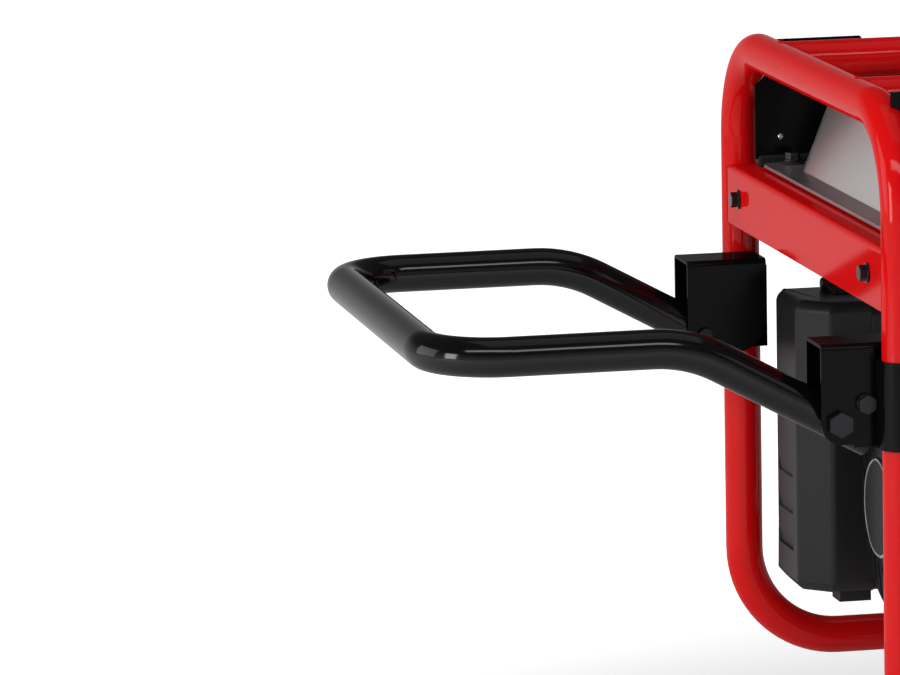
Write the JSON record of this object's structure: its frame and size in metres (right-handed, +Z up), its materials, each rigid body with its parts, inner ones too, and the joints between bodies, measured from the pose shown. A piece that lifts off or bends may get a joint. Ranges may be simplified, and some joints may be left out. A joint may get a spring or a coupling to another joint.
{
  "type": "portable generator",
  "caption": "Open-frame portable generator: bent red tube frame with engine, alternator, fuel tank, control panel, wheels at one end and a fold-down handle at the other.",
  "frame": {"origin": "on the ground under the middle of the whole machine", "axes": "+X from the handle end to the wheel end, -Y the control panel side, +Z up"},
  "size_m": [0.999, 0.618, 0.589],
  "materials": {
    "red_paint": "gloss red paint on steel tube and sheet",
    "black_paint": "gloss black paint on steel",
    "silver_paint": "satin silver paint on stamped steel",
    "zinc_steel": "zinc plated steel",
    "black_rubber": "matt black rubber",
    "tyre_rubber": "solid black tyre",
    "black_plastic": "moulded black plastic",
    "grey_plastic": "moulded dark grey plastic with a soft sheen",
    "switch_plastic": "gloss red plastic",
    "cast_aluminium": "as-cast aluminium",
    "dark_engine_paint": "satin black engine paint",
    "core_steel": "varnished steel laminations",
    "exhaust_steel": "heat dulled steel"
  },
  "bodies": {
    "frame": {"handle_end_hoop": "red_paint", "wheel_end_hoop": "red_paint", "top_tube_front": "red_paint", "top_tube_rear": "red_paint", "handle_end_crossmember": "red_paint", "wheel_end_crossmember": "red_paint", "mount_crossmembers": "red_paint", "axle_brackets": "red_paint", "support_leg": "red_paint", "handle_bracket_front": "black_paint", "handle_bracket_rear": "black_paint", "leg_straps": "black_paint", "rear_shield": "black_paint", "tank_rails": "black_paint", "panel_housing": "black_paint", "muffler_guard": "black_paint", "fuel_tank": "silver_paint", "flange_bolts": "zinc_steel", "handle_bolts": "zinc_steel", "alternator_bolts": "zinc_steel", "axle": "zinc_steel", "axle_clips": "zinc_steel", "rubber_mounts": "black_rubber", "rubber_feet": "black_rubber", "tank_rubbers": "black_rubber", "fuel_hose": "black_rubber", "spark_plug_cap": "black_rubber", "panel_fascia": "black_plastic", "socket_outlets": "black_plastic", "oil_dipstick": "black_plastic", "air_cleaner_cover": "grey_plastic", "air_cleaner_base": "grey_plastic", "crankcase": "cast_aluminium", "cylinder": "cast_aluminium", "cylinder_head": "cast_aluminium", "alternator_bracket": "cast_aluminium", "carburettor": "cast_aluminium", "fuel_valve": "cast_aluminium", "blower_housing": "dark_engine_paint", "recoil_cover": "dark_engine_paint", "rocker_cover": "dark_engine_paint", "stator": "core_steel", "muffler": "exhaust_steel"},
    "handle": {"handle_tube": "black_paint"},
    "wheel_front": {"tyre_front": "tyre_rubber", "wheel_rim_front": "black_plastic"},
    "wheel_rear": {"tyre_rear": "tyre_rubber", "wheel_rim_rear": "black_plastic"},
    "crank": {"crankshaft": "zinc_steel", "flywheel": "cast_aluminium", "rotor": "core_steel"},
    "grip": {"starter_grip": "black_plastic"},
    "pulley": {"starter_pulley": "black_plastic"},
    "cap": {"fuel_cap": "black_plastic"},
    "valve_lever": {"fuel_valve_lever": "switch_plastic"},
    "choke": {"choke_lever": "zinc_steel"},
    "switch": {"engine_switch": "switch_plastic"},
    "breaker": {"breaker_button": "switch_plastic"},
    "lid_left": {"socket_lid_left": "black_plastic"},
    "lid_right": {"socket_lid_right": "black_plastic"}
  },
  "joints": [
    {"name": "handle_fold", "type": "hinge", "parent": "frame", "child": "handle", "pos_m": [-0.208, 0, 0.362], "axis": [0, -1, 0], "range_deg": [-28, 103]},
    {"name": "wheel_front_spin", "type": "hinge", "parent": "frame", "child": "wheel_front", "pos_m": [0.4045, 0, 0.095], "axis": [0, 1, 0], "continuous": true},
    {"name": "wheel_rear_spin", "type": "hinge", "parent": "frame", "child": "wheel_rear", "pos_m": [0.4045, 0, 0.095], "axis": [0, 1, 0], "continuous": true},
    {"name": "crank_spin", "type": "hinge", "parent": "frame", "child": "crank", "pos_m": [0, -0.012, 0.26], "axis": [1, 0, 0], "continuous": true},
    {"name": "starter_pull", "type": "slide", "parent": "frame", "child": "grip", "axis": [0, -1, 0], "range_m": [0, 0.4], "stiffness_N_per_m": 25, "springref_m": -0.2},
    {"name": "starter_pulley_turn", "type": "hinge", "parent": "frame", "child": "pulley", "pos_m": [0, -0.012, 0.26], "axis": [1, 0, 0], "range_deg": [0, 546]},
    {"name": "fuel_cap_lift", "type": "slide", "parent": "frame", "child": "cap", "axis": [0, 0, 1], "range_m": [0, 0.06]},
    {"name": "fuel_valve_turn", "type": "hinge", "parent": "frame", "child": "valve_lever", "pos_m": [-0.0665, 0.112, 0.44], "axis": [1, 0, 0], "range_deg": [0, 90]},
    {"name": "choke_turn", "type": "hinge", "parent": "frame", "child": "choke", "pos_m": [-0.0825, 0.12606, 0.35541], "axis": [0, 0, 1], "range_deg": [0, 50]},
    {"name": "engine_switch_rock", "type": "hinge", "parent": "frame", "child": "switch", "pos_m": [-0.0605, -0.229, 0.492], "axis": [-1, 0, 0], "range_deg": [0, 18]},
    {"name": "breaker_press", "type": "slide", "parent": "frame", "child": "breaker", "axis": [0, 1, 0], "range_m": [0, 0.0025], "stiffness_N_per_m": 400, "springref_m": -0.001},
    {"name": "socket_lid_left_lift", "type": "hinge", "parent": "frame", "child": "lid_left", "pos_m": [0.2495, -0.2389, 0.5249], "axis": [-1, 0, 0], "range_deg": [0, 105], "stiffness_Nm_per_rad": 0.02, "springref_deg": -22.92},
    {"name": "socket_lid_right_lift", "type": "hinge", "parent": "frame", "child": "lid_right", "pos_m": [0.3335, -0.2389, 0.5249], "axis": [-1, 0, 0], "range_deg": [0, 105], "stiffness_Nm_per_rad": 0.02, "springref_deg": -22.92}
  ],
  "couplings": [
    {"joint": "starter_pulley_turn", "follows": "starter_pull", "rad_per_m": 23.8}
  ]
}
